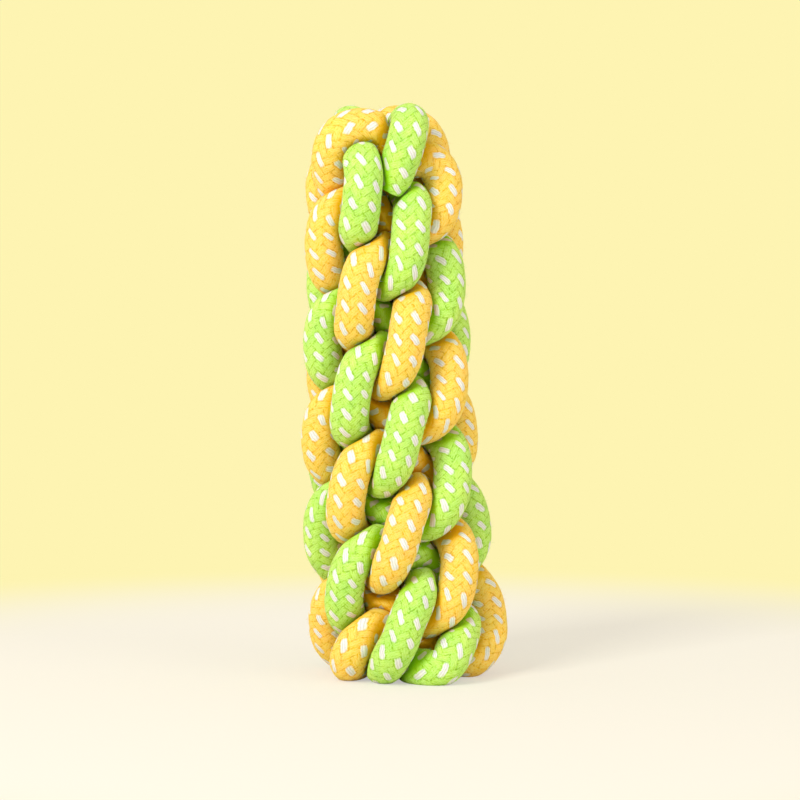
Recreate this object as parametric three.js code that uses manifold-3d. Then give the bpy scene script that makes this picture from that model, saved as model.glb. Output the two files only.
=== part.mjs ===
// Rope dog toy: a free-standing tug stick, knotted from two soft braided cords.
// Millimetres, +Z up, the front faces -Y. The origin is on the floor, in the middle of the foot.
//
// An orange and a green cord cross at their middles under the stick, which gives four strands. They are
// tied in a round crown sinnet: in each layer four strands stand up outside as bights, turn in over the
// strand before, pass under the one after, and come out three eighths of a turn further on as the bights
// of the next layer. The last crown is tied the other way round, and its ends are tucked in.
import * as THREE from "three";
import Module from "manifold-3d";
import { mergeVertices } from "three/addons/utils/BufferGeometryUtils.js";

const { clamp, degToRad, inverseLerp, lerp, smoothstep } = THREE.MathUtils;

// Driving dimensions.
const CORD_DIAMETER = 12;
const BOTTOM_REACH = 26.75; // from the stick's axis to the cord's centre, in the lowest bights
const TOP_REACH = 20.78; // the same in the highest layer
const LAYER_RISE = 14.93;
const FIRST_LAYER_HEIGHT = 17.02; // from the floor to the middle of the first whole bights
const PRESS_CLEARANCE = 1; // between two stretches of cord that press on each other
const BOW = 1.85; // how far the stick bends to its left half way up
const DOUBLE_BOW = 0.39; // and how much further a quarter than three quarters of the way up

// Angles.
const TILT_DEGREES = 3.26; // how far the stick leans to its left
const FRONT_DEGREES = -0.6; // where the first layer's front column is, from the front
const LAYER_DEGREES = 138.27; // three columns and a little more, so that the columns wind round

// Counts.
const COLUMNS = 8;
const LAYERS = 10;
const STEPS_PER_LAYER = 12;
const SIDES = 8;
const SPOTS_PER_STEP = 4;

// The path of a strand over one layer, as harmonics of its turn, each at the loose bottom and at the
// tight top. Reach is in shares of the bights' reach, swing in radians and lift in cord diameters.
const REACH_SHARES = [
  [0.272, 0.312],
  [-0.073, -0.084],
  [-0.025, 0.001],
  [0.021, 0.008],
];
const SWING_SHARES = [
  [-0.382, -0.478],
  [0.031, 0.08],
  [0.002, -0.024],
  [0.018, 0.008],
];
const LIFT_SHARES = [
  [0.459, 0.528],
  [-0.167, -0.199],
  [-0.018, 0.012],
  [0.117, -0.031],
];

// The first turn-in is lifted over the runs on the floor: by how many cord diameters, and between which
// places before the first layer, in layers.
const FIRST_LIFT_SHARE = 0.25;
const FIRST_LIFT_SHARES = [0.25, 0.42];

// Where the stick starts: from the crossing on the floor out to the lowest bight.
// [reach / bottom reach, degrees from the strand's column, height above the floor run / cord diameter]
const START_SHARES = {
  under: [
    [0, 0, 0],
    [0.22, -24, 0],
    [0.504, -32.8, 0],
    [0.655, -26.6, 0],
    [0.9, -5, 0],
    [0.993, 3.1, 0.194],
    [0.974, 10.1, 0.549],
  ],
  over: [
    [0, 0, 0.64],
    [0.15, -30, 0.52],
    [0.3, -28, 0.18],
    [0.472, -35.7, 0],
    [0.742, -33, 0],
    [0.921, -21.8, 0],
    [0.986, -15, 0.12],
    [0.998, -7.9, 0.414],
    [0.92, 2.9, 0.698],
  ],
};
const START_LAYER_SHARE = 0.71; // of a layer, before the first

// Where it ends: over the top the other way round, down outside, and in again.
// [reach / top reach, degrees from the strand's last column, height above the last layer / cord diameter]
const FINISH_SHARES = [
  [0.816, -1.9, 0.759],
  [0.39, -37.7, 0.962],
  [0.393, -73.4, 1.511],
  [0.495, -97.4, 1.701],
  [0.701, -119.5, 1.649],
  [0.807, -129.3, 1.413],
  [0.849, -137.4, 0.97],
  [0.786, -145.9, 0.488],
  [0.708, -155.2, 0.064],
];
const FINISH_LIFT_SHARE = { under: -0.04, over: 0.014 };
const FINISH_LAYER_SHARE = 0.16; // of a layer, after the last

// Half way up, the layers stand this much further out, as a share of the reach, and higher, in cord diameters.
const MIDDLE_REACH_SHARE = -0.017;
const MIDDLE_LIFT_SHARE = -0.06;

// The stick is tied by hand and isn't quite even. How much further out its sides stand, as a share of the
// reach, how far round its columns lie from even places, in radians, and how much higher they are, in cord
// diameters: one, two and three waves round the stick, each at the bottom, half way up and at the top.
const OUT_OF_ROUND_SHARES = [
  { cosine: [0.049, 0.008, 0.038], sine: [-0.032, -0.042, -0.048] },
  { cosine: [-0.054, -0.052, -0.051], sine: [-0.015, -0.007, 0.05] },
  { cosine: [0.037, -0.003, 0.011], sine: [0.031, -0.009, -0.012] },
];
const UNEVEN_TURNS = [
  { cosine: [-0.062, -0.103, -0.057], sine: [-0.03, -0.016, -0.027] },
  { cosine: [-0.005, 0.041, 0.022], sine: [-0.012, 0.022, 0.032] },
];
const UNEVEN_LIFT_SHARES = [
  { cosine: [0.176, 0.055, 0.046], sine: [0.074, 0.049, 0.009] },
  { cosine: [-0.051, 0.016, -0.018], sine: [0.038, -0.027, -0.017] },
];
// The uneven lift grows from nothing to its whole between these heights, in cord diameters.
const UNEVEN_LIFT_START_SHARES = [0.42, 2.08];

// How soft the cord is. It is pressed flat on the floor by this share of its diameter.
const FLOOR_CUT_SHARE = 0.1;
// In cord diameters: a stretch of its own this near along the cord doesn't press on it, and centre lines
// this far apart don't press on each other.
const OWN_STRETCH_SHARE = 1.7;
const PRESS_RANGE_SHARE = 1.3;
// The inner side of a bend keeps to this share of the bend's radius.
const INNER_BEND_SHARE = 0.8;

const floorRun = (1 / 2 - FLOOR_CUT_SHARE) * CORD_DIAMETER;
const stickHeight = LAYERS * LAYER_RISE;
const lastLayer = LAYERS - 1;
const columnTurn = (2 * Math.PI) / COLUMNS;
const layerTurn = degToRad(LAYER_DEGREES);
const ownStretch = OWN_STRETCH_SHARE * CORD_DIAMETER;
const pressRange = PRESS_RANGE_SHARE * CORD_DIAMETER;

// A point of a cord's centre line: reach from the axis, angle in radians, height above the floor.
const station = (reach, angle, height) => ({ reach, angle, height });

// A strand's station in the sinnet. Whole layers are the middles of its bights.
function sinnetStation(layer, startAngle) {
  const climb = clamp(layer / lastLayer, 0, 1);
  const middle = 4 * climb * (1 - climb);
  let reach = 1;
  let swing = 0;
  let lift = MIDDLE_LIFT_SHARE * middle + FIRST_LIFT_SHARE * smoothstep(-layer, ...FIRST_LIFT_SHARES);
  for (let order = 1; order <= REACH_SHARES.length; order++) {
    const phase = 2 * Math.PI * order * layer;
    reach -= lerp(...REACH_SHARES[order - 1], climb) * (1 - Math.cos(phase));
    swing += lerp(...SWING_SHARES[order - 1], climb) * Math.sin(phase);
    lift += lerp(...LIFT_SHARES[order - 1], climb) * Math.sin(phase);
  }
  return station(
    reach * lerp(BOTTOM_REACH, TOP_REACH, layer / lastLayer) * (1 + MIDDLE_REACH_SHARE * middle),
    startAngle + layerTurn * layer + swing,
    FIRST_LAYER_HEIGHT + LAYER_RISE * layer + lift * CORD_DIAMETER,
  );
}

// All stations of one strand, from the floor crossing to its end.
function strandStations(column, kind) {
  const startAngle = column * columnTurn;
  const lowestAngle = startAngle - layerTurn;
  const stations = START_SHARES[kind].map(([reach, degrees, height]) =>
    station(reach * BOTTOM_REACH, lowestAngle + degToRad(degrees), floorRun + height * CORD_DIAMETER),
  );
  for (let layer = -START_LAYER_SHARE; layer <= lastLayer + FINISH_LAYER_SHARE; layer += 1 / STEPS_PER_LAYER)
    stations.push(sinnetStation(layer, startAngle));
  const lastAngle = startAngle + layerTurn * lastLayer;
  const lastHeight = FIRST_LAYER_HEIGHT + LAYER_RISE * lastLayer;
  for (const [reach, degrees, height] of FINISH_SHARES) {
    const lift = (height + FINISH_LIFT_SHARE[kind]) * CORD_DIAMETER;
    stations.push(station(reach * TOP_REACH, lastAngle + degToRad(degrees), lastHeight + lift));
  }
  return stations;
}

// A value at a share of the height, from those at the bottom, half way up and at the top.
const atHeight = ([bottom, middle, top], climb) =>
  climb < 1 / 2 ? lerp(bottom, middle, 2 * climb) : lerp(middle, top, 2 * climb - 1);

// The sum of waves round the stick, at an angle and a share of the height.
function waveSum(waves, angle, climb) {
  return waves.reduce((sum, { cosine, sine }, index) => {
    const phase = (index + 1) * angle;
    return sum + atHeight(cosine, climb) * Math.cos(phase) + atHeight(sine, climb) * Math.sin(phase);
  }, 0);
}

// A station as a point in space, on the leaning, bowed and slightly uneven stick.
function placed({ reach, angle, height }) {
  const even = angle - Math.PI / 2 + degToRad(FRONT_DEGREES);
  const climb = clamp(height / stickHeight, 0, 1);
  const out = reach * (1 + waveSum(OUT_OF_ROUND_SHARES, even, climb));
  const turned = even + waveSum(UNEVEN_TURNS, even, climb);
  const free = clamp(inverseLerp(...UNEVEN_LIFT_START_SHARES, height / CORD_DIAMETER), 0, 1);
  const z = height + free * waveSum(UNEVEN_LIFT_SHARES, even, climb) * CORD_DIAMETER;
  const phase = (Math.PI * z) / stickHeight;
  const bow = BOW * Math.sin(phase) + DOUBLE_BOW * Math.sin(2 * phase);
  const axisX = -Math.tan(degToRad(TILT_DEGREES)) * z - bow;
  return new THREE.Vector3(axisX + out * Math.cos(turned), out * Math.sin(turned), z);
}

// One cord: down one strand, across the floor and up the strand on the other side. Its rings carry the
// surface, and the spots between them are what it presses with.
function layCord(column, kind) {
  const there = strandStations(column, kind).map(placed).reverse();
  const back = strandStations(column + COLUMNS / 2, kind).map(placed).slice(1);
  const curve = new THREE.CatmullRomCurve3([...there, ...back], false, "centripetal");
  const steps = curve.points.length - 1;
  curve.arcLengthDivisions = 2 * SPOTS_PER_STEP * steps;
  const length = curve.getLength();
  const spots = Array.from({ length: SPOTS_PER_STEP * steps + 1 }, (_, spot) => {
    const share = spot / (SPOTS_PER_STEP * steps);
    return { centre: curve.getPointAt(share), travelled: length * share };
  });
  const rings = spots.filter((_, spot) => spot % SPOTS_PER_STEP === 0).map((spot) => ({ ...spot }));
  rings.forEach((ring, index) => {
    const before = rings[Math.max(index - 1, 0)];
    const after = rings[Math.min(index + 1, steps)];
    const tangent = after.centre.clone().sub(before.centre).normalize();
    ring.normal = index ? before.normal.clone() : new THREE.Vector3(0, 0, 1);
    ring.normal.addScaledVector(tangent, -ring.normal.dot(tangent)).normalize();
    ring.binormal = tangent.cross(ring.normal);
  });
  return { length, rings, spots };
}

// The vector that points to the inner side of the bend at a ring, one over the bend's radius long.
function bendAt(rings, index) {
  const middle = clamp(index, 1, rings.length - 2);
  const before = rings[middle - 1].centre;
  const after = rings[middle + 1].centre;
  const sag = before.clone().lerp(after, 1 / 2).sub(rings[middle].centre);
  const chord = before.distanceTo(after) / 2;
  return sag.multiplyScalar(2 / chord ** 2);
}

// The points round each ring. A cord is soft: where it presses on itself or on the other cord, its side
// goes no further than half way to the other centre line, less half the clearance.
function pressRings(cord, cords) {
  cord.rings.forEach((ring, index) => {
    const presses = [];
    for (const other of cords)
      for (const spot of other.spots) {
        if (other === cord && Math.abs(spot.travelled - ring.travelled) < ownStretch) continue;
        const towards = spot.centre.clone().sub(ring.centre);
        if (towards.length() < pressRange) presses.push(towards);
      }
    const bends = [index - 1, index, index + 1].map((near) => bendAt(cord.rings, near));
    ring.points = Array.from({ length: SIDES }, (_, side) => {
      const angle = (2 * Math.PI * side) / SIDES;
      const out = ring.normal.clone().multiplyScalar(Math.cos(angle));
      out.addScaledVector(ring.binormal, Math.sin(angle));
      let radius = CORD_DIAMETER / 2;
      for (const towards of presses) {
        const distance = towards.length();
        const facing = towards.dot(out) / distance;
        if (facing > 0) radius = Math.min(radius, (distance - PRESS_CLEARANCE) / (2 * facing));
      }
      const inward = Math.max(...bends.map((bend) => bend.dot(out)));
      if (inward > 0) radius = Math.min(radius, INNER_BEND_SHARE / inward);
      return ring.centre.clone().addScaledVector(out, radius);
    });
  });
}

const orange = layCord(2, "under");
const green = layCord(4, "over");
pressRings(orange, [orange, green]);
pressRings(green, [orange, green]);

// The least gap between two surfaces, or between the turns of one, from points of the first to the facets
// of the second.
function leastGap(one, other) {
  const facet = new THREE.Triangle();
  const nearest = new THREE.Vector3();
  let least = Infinity;
  for (const ring of one.rings)
    other.rings.slice(1).forEach((upper, index) => {
      const lower = other.rings[index];
      if (one === other && Math.abs(lower.travelled - ring.travelled) < ownStretch) return;
      if (lower.centre.distanceTo(ring.centre) > 2 * pressRange) return;
      for (let side = 0; side < SIDES; side++) {
        const next = (side + 1) % SIDES;
        for (const corners of [
          [lower.points[side], lower.points[next], upper.points[side]],
          [lower.points[next], upper.points[next], upper.points[side]],
        ]) {
          facet.set(...corners);
          for (const point of ring.points)
            least = Math.min(least, facet.closestPointToPoint(point, nearest).distanceTo(point));
        }
      }
    });
  return least;
}

for (const [name, cord] of Object.entries({ orange, green })) {
  const ownGap = leastGap(cord, cord);
  console.log(`${name} cord: ${cord.length.toFixed(0)} mm long, least gap to itself ${ownGap.toFixed(2)} mm`);
}
const between = Math.min(leastGap(orange, green), leastGap(green, orange));
console.log(`least gap between the cords: ${between.toFixed(2)} mm`);

const wasm = await Module();
wasm.setup();

// The rings joined into one closed tube.
function tubeGeometry({ rings }) {
  const positions = rings.flatMap(({ points }) => points.flatMap((point) => point.toArray()));
  const index = [];
  for (let ring = 0; ring < rings.length - 1; ring++)
    for (let side = 0; side < SIDES; side++) {
      const here = ring * SIDES + side;
      const next = ring * SIDES + ((side + 1) % SIDES);
      index.push(here, next, here + SIDES, next, next + SIDES, here + SIDES);
    }
  for (const end of [0, rings.length - 1]) {
    const hub = positions.length / 3;
    positions.push(...rings[end].centre);
    for (let side = 0; side < SIDES; side++) {
      const rim = [end * SIDES + side, end * SIDES + ((side + 1) % SIDES)];
      index.push(hub, ...(end === 0 ? rim.reverse() : rim));
    }
  }
  return new THREE.BufferGeometry()
    .setAttribute("position", new THREE.Float32BufferAttribute(positions, 3))
    .setIndex(index);
}

function solidOf(geometry) {
  return new wasm.Manifold(
    new wasm.Mesh({
      numProp: 3,
      vertProperties: geometry.attributes.position.array,
      triVerts: new Uint32Array(geometry.index.array),
    }),
  );
}

function geometryOf(solid) {
  const mesh = solid.getMesh();
  return new THREE.BufferGeometry()
    .setAttribute("position", new THREE.BufferAttribute(mesh.vertProperties, 3))
    .setIndex(new THREE.BufferAttribute(mesh.triVerts, 1));
}

// The floor that both cords are pressed flat on.
function floorSolid() {
  const span = 2 * (BOTTOM_REACH + CORD_DIAMETER);
  const block = new THREE.BoxGeometry(span, span, CORD_DIAMETER).translate(0, 0, -CORD_DIAMETER / 2);
  block.deleteAttribute("normal");
  block.deleteAttribute("uv");
  return solidOf(mergeVertices(block));
}

const floor = floorSolid();
const colours = { orange_cord: 0xfab932, green_cord: 0xaaf046 };
const group = new THREE.Group();
for (const [name, cord] of Object.entries({ orange_cord: orange, green_cord: green })) {
  const mesh = new THREE.Mesh(
    geometryOf(solidOf(tubeGeometry(cord)).subtract(floor)),
    new THREE.MeshStandardMaterial({ color: colours[name], roughness: 0.9, metalness: 0 }),
  );
  mesh.name = name;
  group.add(mesh);
}
export default group;
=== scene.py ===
"""Rope dog toy: the looks of a tug stick, knotted from an orange and a green braided cotton cord.

Metres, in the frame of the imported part: +Z up, the front faces -Y, the origin is in the middle of the foot.
The two cords follow the route of the part's solids. Each half of a cord is one surface over a grid of the
way along it and the way round it: a soft tube that is pressed flat where it meets a neighbour, with the
yarns of its braid raised on it. The same steps raise the yarns and colour them.
"""

import logging
import math
from dataclasses import dataclass
from enum import Enum

import bpy
import numpy as np
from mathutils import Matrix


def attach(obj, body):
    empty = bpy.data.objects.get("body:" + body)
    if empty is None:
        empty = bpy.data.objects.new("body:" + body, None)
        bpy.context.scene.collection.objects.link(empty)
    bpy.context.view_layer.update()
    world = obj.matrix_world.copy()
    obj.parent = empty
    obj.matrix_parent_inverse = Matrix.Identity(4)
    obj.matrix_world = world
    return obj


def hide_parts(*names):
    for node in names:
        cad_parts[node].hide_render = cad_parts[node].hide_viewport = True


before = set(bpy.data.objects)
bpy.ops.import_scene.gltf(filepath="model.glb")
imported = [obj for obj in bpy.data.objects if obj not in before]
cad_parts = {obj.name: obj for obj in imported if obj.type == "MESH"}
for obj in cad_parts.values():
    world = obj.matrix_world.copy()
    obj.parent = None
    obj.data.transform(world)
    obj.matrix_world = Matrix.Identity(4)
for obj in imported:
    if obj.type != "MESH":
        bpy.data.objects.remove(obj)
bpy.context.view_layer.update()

BODY = "root"
LOG = logging.getLogger("rope_dog_toy")
LEAST_COSINE = 1e-3
NOISE_DETAIL = 2.0

Array = np.ndarray
Socket = bpy.types.NodeSocket
Tree = bpy.types.NodeTree
Span = tuple[float, float]
Triple = tuple[float, float, float]


class Crossing(Enum):
    """How a cord passes the other one on the floor under the stick."""

    UNDER = "under"
    OVER = "over"


# The path of a strand over one layer, as harmonics of its turn, each at the loose bottom and at the tight
# top. Reach is in shares of the bights' reach, swing in radians and lift in cord diameters.
REACH_SHARES = np.array([[0.272, 0.312], [-0.073, -0.084], [-0.025, 0.001], [0.021, 0.008]])
SWING_SHARES = np.array([[-0.382, -0.478], [0.031, 0.08], [0.002, -0.024], [0.018, 0.008]])
LIFT_SHARES = np.array([[0.459, 0.528], [-0.167, -0.199], [-0.018, 0.012], [0.117, -0.031]])

# Where the stick starts, from the crossing on the floor out to the lowest bight:
# reach / bottom reach, degrees from the strand's column, height above the floor run / cord diameter.
START_SHARES = {
    Crossing.UNDER: np.array([
        [0, 0, 0], [0.22, -24, 0], [0.504, -32.8, 0], [0.655, -26.6, 0], [0.9, -5, 0], [0.993, 3.1, 0.194],
        [0.974, 10.1, 0.549],
    ]),
    Crossing.OVER: np.array([
        [0, 0, 0.64], [0.15, -30, 0.52], [0.3, -28, 0.18], [0.472, -35.7, 0], [0.742, -33, 0],
        [0.921, -21.8, 0], [0.986, -15, 0.12], [0.998, -7.9, 0.414], [0.92, 2.9, 0.698],
    ]),
}

# Where it ends, over the top the other way round, down outside and in again:
# reach / top reach, degrees from the strand's last column, height above the last layer / cord diameter.
FINISH_SHARES = np.array([
    [0.816, -1.9, 0.759], [0.39, -37.7, 0.962], [0.393, -73.4, 1.511], [0.495, -97.4, 1.701],
    [0.701, -119.5, 1.649], [0.807, -129.3, 1.413], [0.849, -137.4, 0.97], [0.786, -145.9, 0.488],
    [0.708, -155.2, 0.064],
])
FINISH_LIFT_SHARE = {Crossing.UNDER: -0.04, Crossing.OVER: 0.014}

# The stick is tied by hand and isn't quite even. How much further out its sides stand, as a share of the
# reach, how far round its columns lie from even places, in radians, and how much higher they are, in cord
# diameters: one, two and three waves round the stick, the cosine and the sine of each, at the bottom, half
# way up and at the top.
OUT_OF_ROUND_SHARES = np.array([
    [[0.049, 0.008, 0.038], [-0.032, -0.042, -0.048]],
    [[-0.054, -0.052, -0.051], [-0.015, -0.007, 0.05]],
    [[0.037, -0.003, 0.011], [0.031, -0.009, -0.012]],
])
UNEVEN_TURNS = np.array([
    [[-0.062, -0.103, -0.057], [-0.03, -0.016, -0.027]],
    [[-0.005, 0.041, 0.022], [-0.012, 0.022, 0.032]],
])
UNEVEN_LIFT_SHARES = np.array([
    [[0.176, 0.055, 0.046], [0.074, 0.049, 0.009]],
    [[-0.051, 0.016, -0.018], [0.038, -0.027, -0.017]],
])

# One cell of a two over two twill braid, from x round the cord and y along it, both in yarns. s and t count
# across the yarns of each hand. Edge and end are how far a point is from the middle of its yarn, sideways and
# along it. Each step is a result's name, an operation and what it works on. The same steps are worked out
# with numpy for the raised yarns, and as Math nodes for their colour.
BRAID_STEPS = (
    ("s", "ADD", "y", "x"),
    ("t", "SUBTRACT", "y", "x"),
    ("i", "FLOOR", "s"),
    ("j", "FLOOR", "t"),
    ("lag", "SUBTRACT", "i", "j"),
    ("place", "FLOORED_MODULO", "lag", 4.0),
    ("left_hand", "LESS_THAN", "place", 2.0),
    ("right_hand", "SUBTRACT", 1.0, "left_hand"),
    ("left_side", "SUBTRACT", "s", "i"),
    ("right_side", "SUBTRACT", "t", "j"),
    ("left_start", "SUBTRACT", "t", "i"),
    ("left_turn", "ADD", "left_start", 1.0),
    ("left_way", "FLOORED_MODULO", "left_turn", 4.0),
    ("right_start", "SUBTRACT", "s", "j"),
    ("right_turn", "SUBTRACT", "right_start", 2.0),
    ("right_way", "FLOORED_MODULO", "right_turn", 4.0),
    ("left_side_shown", "MULTIPLY", "left_hand", "left_side"),
    ("side", "MULTIPLY_ADD", "right_hand", "right_side", "left_side_shown"),
    ("across", "MULTIPLY_ADD", "side", 2.0, -1.0),
    ("left_way_shown", "MULTIPLY", "left_hand", "left_way"),
    ("way", "MULTIPLY_ADD", "right_hand", "right_way", "left_way_shown"),
    ("along", "SUBTRACT", "way", 1.0),
    ("across_2", "MULTIPLY", "across", "across"),
    ("round", "MULTIPLY_ADD", "across_2", -0.9, 1.0),
    ("crown", "SQRT", "round"),
    ("along_2", "MULTIPLY", "along", "along"),
    ("along_4", "MULTIPLY", "along_2", "along_2"),
    ("dive", "MULTIPLY_ADD", "along_4", -0.75, 1.0),
    ("height", "MULTIPLY", "crown", "dive"),
    ("pair", "FLOORED_MODULO", "i", 2.0),
    ("white_yarn", "LESS_THAN", "pair", 1.0),
    ("white", "MULTIPLY", "white_yarn", "left_hand"),
    ("left_yarn", "MULTIPLY", "left_hand", "i"),
    ("yarn", "MULTIPLY_ADD", "right_hand", "j", "left_yarn"),
    ("edge", "ABSOLUTE", "across"),
    ("end", "ABSOLUTE", "along"),
)

NUMPY_STEPS = {
    "ADD": np.add,
    "SUBTRACT": np.subtract,
    "MULTIPLY": np.multiply,
    "MULTIPLY_ADD": lambda a, b, c: a * b + c,
    "FLOOR": np.floor,
    "FLOORED_MODULO": np.mod,
    "LESS_THAN": lambda a, b: np.less(a, b).astype(float),
    "SQRT": np.sqrt,
    "ABSOLUTE": np.abs,
}


def linear(hex_colour: str) -> tuple[float, float, float, float]:
    """Turns an sRGB colour into the linear one that shaders take.

    Args:
        hex_colour: Six digits, two each for red, green and blue.

    Returns:
        Red, green, blue and an alpha of 1.
    """
    srgb = [int(hex_colour[at : at + 2], 16) / 255 for at in (0, 2, 4)]
    parts = [c / 12.92 if c <= 0.04045 else ((c + 0.055) / 1.055) ** 2.4 for c in srgb]
    return (*parts, 1.0)


def smooth_step(value: Array, low: float, high: float) -> Array:
    """Rises smoothly from 0 at low to 1 at high.

    Args:
        value: Where it is wanted.
        low: Where the rise starts.
        high: Where it ends.

    Returns:
        An array like value: 3 w squared less 2 w cubed, where w is the share of the way from low to high.
    """
    way = np.clip((value - low) / (high - low), 0, 1)
    return way * way * (3 - 2 * way)


def smooth_least(one: Array, other: Array, blend: float) -> Array:
    """The lesser of two arrays, with the change from one to the other rounded off.

    Args:
        one: The first array.
        other: The second array.
        blend: How far apart the two may be and still be rounded.

    Returns:
        The least, less blend / 4 times the square of how near they are, from 0 to 1.
    """
    near = np.clip(1 - np.abs(one - other) / blend, 0, 1)
    return np.minimum(one, other) - near * near * blend / 4


def softened(points: Array, width: float) -> Array:
    """Averages each row with its neighbours under a bell curve.

    Args:
        points: Rows of numbers, evenly spaced.
        width: The bell's standard deviation, in rows.

    Returns:
        The averaged rows. Past both ends the rows are taken as the end row's mirror image.
    """
    reach = int(3 * width) + 1
    bell = np.exp(-0.5 * (np.arange(-reach, reach + 1) / width) ** 2)
    bell /= bell.sum()
    before = 2 * points[:1] - points[reach:0:-1]
    after = 2 * points[-1:] - points[-2 : -reach - 2 : -1]
    padded = np.concatenate([before, points, after])
    columns = [np.convolve(column, bell, mode="valid") for column in padded.T]
    return np.stack(columns, axis=1)


@dataclass(frozen=True)
class Knot:
    """The sizes of the round crown sinnet that the cords are tied in, in metres and radians."""

    cord_diameter: float = 0.012
    bottom_reach: float = 0.02675
    top_reach: float = 0.02078
    layer_rise: float = 0.01493
    first_layer_height: float = 0.01702
    bow: float = 0.00185
    double_bow: float = 0.00039
    tilt: float = math.radians(3.26)
    front: float = math.radians(-0.6)
    layer_turn: float = math.radians(138.27)
    columns: int = 8
    layers: int = 10
    steps_per_layer: int = 12
    start_layer_share: float = 0.71
    finish_layer_share: float = 0.16
    floor_cut_share: float = 0.1
    first_lift_share: float = 0.25
    first_lift_shares: Span = (0.25, 0.42)
    middle_reach_share: float = -0.017
    middle_lift_share: float = -0.06
    uneven_lift_start_shares: Span = (0.42, 2.08)

    @property
    def last_layer(self) -> int:
        """The number of the highest layer, counted from 0."""
        return self.layers - 1

    def sinnet(self, layer: Array, start_angle: float) -> Array:
        """Works out a strand's stations in the sinnet.

        Args:
            layer: How far up they are, in layers. Whole numbers are the middles of the bights.
            start_angle: The angle of the strand's bight in layer 0.

        Returns:
            Rows of reach, angle and height. Each is its mean way up plus four harmonics of the layer.
        """
        climb = np.clip(layer / self.last_layer, 0, 1)
        phase = 2 * np.pi * np.arange(1, len(REACH_SHARES) + 1)[:, None] * layer
        blend = np.stack([1 - climb, climb])
        reach = 1 - np.sum(REACH_SHARES @ blend * (1 - np.cos(phase)), axis=0)
        swing = np.sum(SWING_SHARES @ blend * np.sin(phase), axis=0)
        lift = np.sum(LIFT_SHARES @ blend * np.sin(phase), axis=0)
        lift += self.first_lift_share * smooth_step(-layer, *self.first_lift_shares)
        middle = 4 * climb * (1 - climb)
        lift += self.middle_lift_share * middle
        mean_reach = self.bottom_reach + (self.top_reach - self.bottom_reach) * layer / self.last_layer
        mean_reach *= 1 + self.middle_reach_share * middle
        height = self.first_layer_height + self.layer_rise * layer + lift * self.cord_diameter
        return np.stack([reach * mean_reach, start_angle + self.layer_turn * layer + swing, height], axis=1)

    def strand(self, column: int, crossing: Crossing) -> Array:
        """Works out all stations of one strand, from the floor crossing to its end.

        Args:
            column: The column of its bight in layer 0, counted from the front.
            crossing: How its cord passes the other one on the floor.

        Returns:
            Rows of reach, angle and height.
        """
        start_angle = column * 2 * np.pi / self.columns
        start = START_SHARES[crossing] * [self.bottom_reach, np.pi / 180, self.cord_diameter]
        start[:, 1] += start_angle - self.layer_turn
        start[:, 2] += (0.5 - self.floor_cut_share) * self.cord_diameter
        top = self.last_layer + self.finish_layer_share
        layer = np.arange(-self.start_layer_share, top, 1 / self.steps_per_layer)
        finish = FINISH_SHARES + [0, 0, FINISH_LIFT_SHARE[crossing]]
        finish *= [self.top_reach, np.pi / 180, self.cord_diameter]
        finish[:, 1] += start_angle + self.layer_turn * self.last_layer
        finish[:, 2] += self.first_layer_height + self.layer_rise * self.last_layer
        return np.concatenate([start, self.sinnet(layer, start_angle), finish])

    def placed(self, stations: Array) -> Array:
        """Puts stations in space, on the leaning, bowed and slightly uneven stick.

        Args:
            stations: Rows of reach, angle and height.

        Returns:
            Rows of x, y and z.
        """
        reach, angle, height = stations.T
        even = angle - np.pi / 2 + self.front
        share = height / (self.layers * self.layer_rise)
        out = reach * (1 + self.wave_sum(OUT_OF_ROUND_SHARES, even, share))
        turned = even + self.wave_sum(UNEVEN_TURNS, even, share)
        start, whole = self.uneven_lift_start_shares
        free = np.clip((height / self.cord_diameter - start) / (whole - start), 0, 1)
        z = height + free * self.wave_sum(UNEVEN_LIFT_SHARES, even, share) * self.cord_diameter
        return np.stack([self.axis_x(z) + out * np.cos(turned), out * np.sin(turned), z], axis=1)

    def axis_x(self, height: Array) -> Array:
        """Works out where the middle of the stick is.

        Args:
            height: Heights above the floor.

        Returns:
            Its x at each height: the lean's slope times the height, half a wave of bow and a whole wave of
            double bow.
        """
        phase = np.pi * height / (self.layers * self.layer_rise)
        bow = self.bow * np.sin(phase) + self.double_bow * np.sin(2 * phase)
        return -math.tan(self.tilt) * height - bow

    def wave_sum(self, waves: Array, angle: Array, share: Array) -> Array:
        """Adds up waves round the stick.

        Args:
            waves: For each wave in turn its cosine's and its sine's height, at the bottom, half way up and at
                the top.
            angle: The angles round the stick.
            share: The shares of its height.

        Returns:
            The sum over n of a cosine (n angle) + b sine (n angle), where a and b change evenly with height.
        """
        climb = 2 * np.clip(share, 0, 1)
        low, middle, high = np.clip(1 - climb, 0, 1), 1 - np.abs(climb - 1), np.clip(climb - 1, 0, 1)
        heights = waves @ np.stack([low, middle, high])
        phase = np.arange(1, len(waves) + 1)[:, None] * angle
        return np.sum(heights[:, 0] * np.cos(phase) + heights[:, 1] * np.sin(phase), axis=0)

    def cord(self, column: int, crossing: Crossing) -> Array:
        """Joins two strands into one cord.

        Args:
            column: The column of its first strand in layer 0.
            crossing: How it passes the other cord on the floor.

        Returns:
            Its points: down one strand, across the floor and up the strand on the other side.
        """
        there = self.placed(self.strand(column, crossing))[::-1]
        back = self.placed(self.strand(column + self.columns // 2, crossing))[1:]
        return np.concatenate([there, back])


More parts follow.
